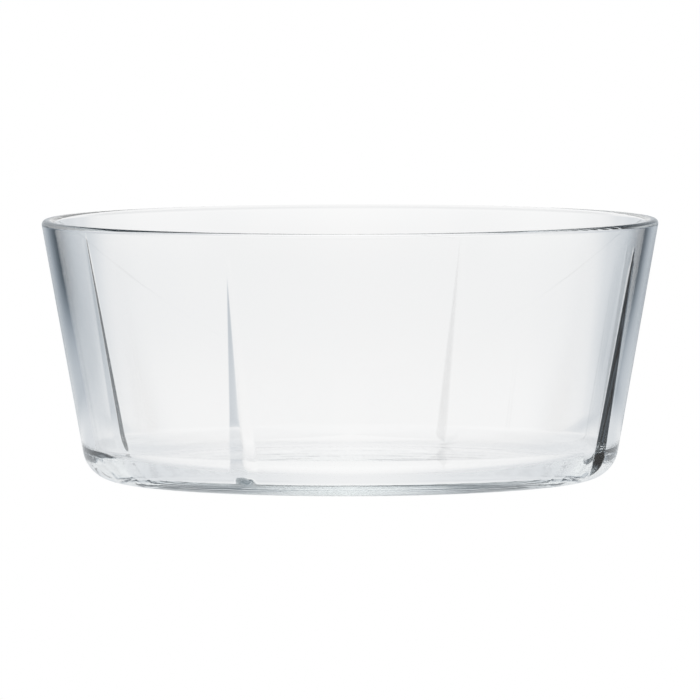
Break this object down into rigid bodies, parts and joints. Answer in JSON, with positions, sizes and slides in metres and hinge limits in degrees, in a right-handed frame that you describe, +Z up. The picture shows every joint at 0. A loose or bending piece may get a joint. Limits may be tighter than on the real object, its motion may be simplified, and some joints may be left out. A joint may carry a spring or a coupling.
{
  "type": "serving bowl",
  "caption": "Round flared serving bowl of thick clear pressed glass, with a flat floor, a rounded heel and four tapered V grooves pressed into the outside of the wall.",
  "frame": {"origin": "centre of the base, in the plane that the foot ring stands on", "axes": "+Z up along the bowl's axis, -Y towards the viewer as pictured, +X to the viewer's right"},
  "size_m": [0.24, 0.24, 0.1012],
  "materials": {
    "clear_glass": "polished"
  },
  "bodies": {
    "root": {"bowl": "clear_glass"}
  },
  "joints": []
}
